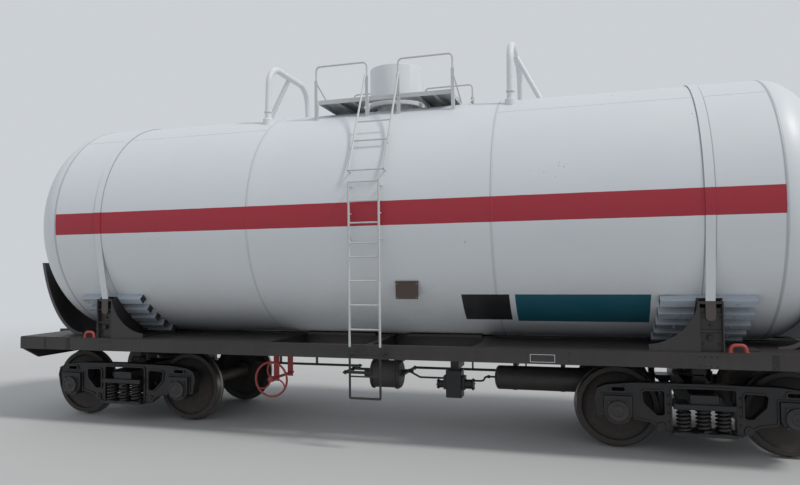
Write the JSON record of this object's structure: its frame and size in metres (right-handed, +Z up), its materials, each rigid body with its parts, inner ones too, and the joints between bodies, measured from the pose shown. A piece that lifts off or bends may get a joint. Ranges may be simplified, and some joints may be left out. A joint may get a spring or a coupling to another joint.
{
  "type": "railway tank car for liquefied gas",
  "caption": "Railway tank car: a horizontal pressure tank on a steel underframe, carried by swivelling bogies with turning wheelsets, with a hinged dome hood.",
  "frame": {"origin": "middle of the car, at the level of the lowest points of the wheel flanges", "axes": "+X along the car towards end a, +Y across the car, +Z up"},
  "size_m": [12.02, 3.428, 5.128],
  "materials": {
    "tank_paint": "white gloss paint with road dirt towards the bottom",
    "timber": "timber painted pale blue grey",
    "frame_paint": "dark brown black paint, dusty",
    "cast_steel": "black paint on cast steel, greasy and dusty",
    "platform_paint": "pale grey paint",
    "red_paint": "red paint",
    "plate_brown": "brown blank plate",
    "spring_steel": "black paint on spring steel",
    "wheel_steel": "rolled steel, brown with rust, bright tread"
  },
  "bodies": {
    "car": {"tank": "tank_paint", "tank_bands": "tank_paint", "saddle_timbers": "timber", "saddles": "frame_paint", "centre_feet": "frame_paint", "centre_sill": "frame_paint", "side_sills": "frame_paint", "end_beams": "frame_paint", "body_bolsters": "frame_paint", "crossbearers": "frame_paint", "deck_plates": "frame_paint", "head_shields": "frame_paint", "coupler_a": "cast_steel", "coupler_b": "cast_steel", "dome": "tank_paint", "manhole_cover": "tank_paint", "platform": "platform_paint", "platform_rails_near": "platform_paint", "platform_rails_far": "platform_paint", "arch_a": "tank_paint", "arch_b": "tank_paint", "ladder_near": "platform_paint", "ladder_far": "platform_paint", "brake_cylinder": "frame_paint", "brake_rods": "frame_paint", "air_distributor": "cast_steel", "air_reservoir": "frame_paint", "brake_pipe": "frame_paint", "hand_brake": "red_paint", "data_plate": "plate_brown", "lashing_staples": "red_paint", "uncoupling_levers": "frame_paint"},
    "hood": {"dome_hood": "tank_paint"},
    "bogie_a": {"bogie_a_side_frames": "cast_steel", "bogie_a_axle_boxes": "cast_steel", "bogie_a_springs": "spring_steel", "bogie_a_bolster": "cast_steel", "bogie_a_brakes": "cast_steel"},
    "bogie_b": {"bogie_b_side_frames": "cast_steel", "bogie_b_axle_boxes": "cast_steel", "bogie_b_springs": "spring_steel", "bogie_b_bolster": "cast_steel", "bogie_b_brakes": "cast_steel"},
    "wheelset_1": {"axle_1": "wheel_steel", "wheels_1": "wheel_steel"},
    "wheelset_2": {"axle_2": "wheel_steel", "wheels_2": "wheel_steel"},
    "wheelset_3": {"axle_3": "wheel_steel", "wheels_3": "wheel_steel"},
    "wheelset_4": {"axle_4": "wheel_steel", "wheels_4": "wheel_steel"}
  },
  "joints": [
    {"name": "hood_hinge", "type": "hinge", "parent": "car", "child": "hood", "pos_m": [0.433, 0, 4.626], "axis": [0, 1, 0], "range_deg": [0, 90]},
    {"name": "bogie_a_pivot", "type": "hinge", "parent": "car", "child": "bogie_a", "pos_m": [3.9, 0, 0.83], "axis": [0, 0, 1], "range_deg": [-4, 4]},
    {"name": "bogie_b_pivot", "type": "hinge", "parent": "car", "child": "bogie_b", "pos_m": [-3.9, 0, 0.83], "axis": [0, 0, 1], "range_deg": [-4, 4]},
    {"name": "wheelset_1_spin", "type": "hinge", "parent": "bogie_a", "child": "wheelset_1", "pos_m": [4.825, 0, 0.5065], "axis": [0, 1, 0], "continuous": true},
    {"name": "wheelset_2_spin", "type": "hinge", "parent": "bogie_a", "child": "wheelset_2", "pos_m": [2.975, 0, 0.5065], "axis": [0, 1, 0], "continuous": true},
    {"name": "wheelset_3_spin", "type": "hinge", "parent": "bogie_b", "child": "wheelset_3", "pos_m": [-2.975, 0, 0.5065], "axis": [0, 1, 0], "continuous": true},
    {"name": "wheelset_4_spin", "type": "hinge", "parent": "bogie_b", "child": "wheelset_4", "pos_m": [-4.825, 0, 0.5065], "axis": [0, 1, 0], "continuous": true}
  ]
}
